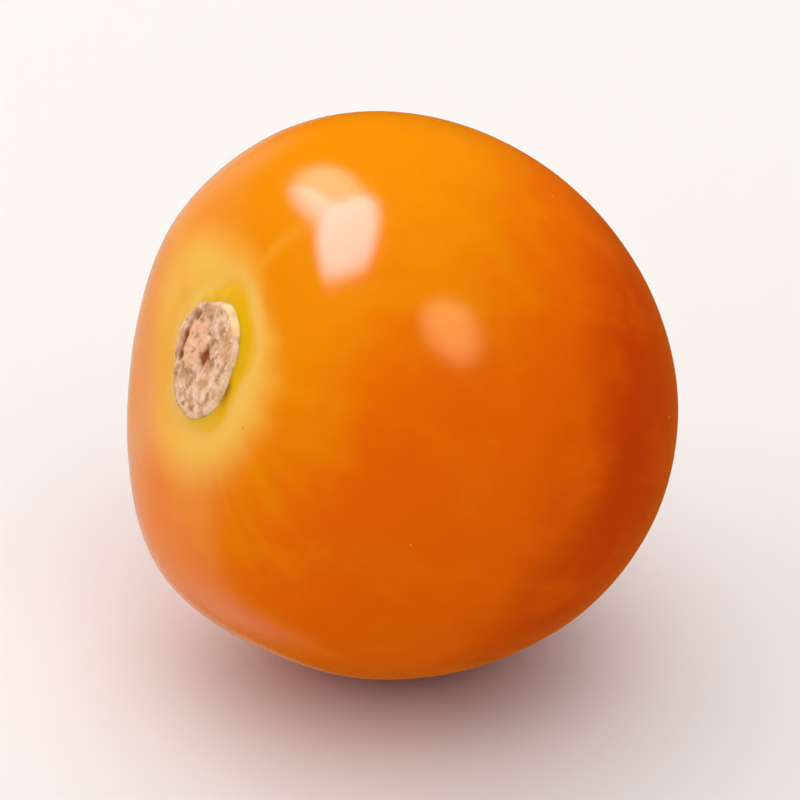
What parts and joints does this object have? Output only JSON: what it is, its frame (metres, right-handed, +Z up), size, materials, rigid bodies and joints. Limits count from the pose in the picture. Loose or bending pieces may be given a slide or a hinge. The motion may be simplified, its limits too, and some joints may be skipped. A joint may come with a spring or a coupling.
{
  "type": "physalis berry",
  "caption": "Whole ripe physalis berry without its husk, lying on its side, with a corky stem scar in a pale yellow halo at the flattened stem end.",
  "frame": {"origin": "on the ground, below the middle of the berry's box", "axes": "+Z up from the surface that the berry rests on; its stem end points to -X, turned 25 degrees towards -Y and lifted 25 degrees"},
  "size_m": [0.0192, 0.0204, 0.0194],
  "materials": {
    "berry_skin": "satin-glossy ripe orange skin, translucent, with a pale yellow halo round the stem scar",
    "stem_scar": "dry matt corky tissue, tan with darker pits"
  },
  "bodies": {
    "root": {"berry": "berry_skin"}
  },
  "joints": []
}
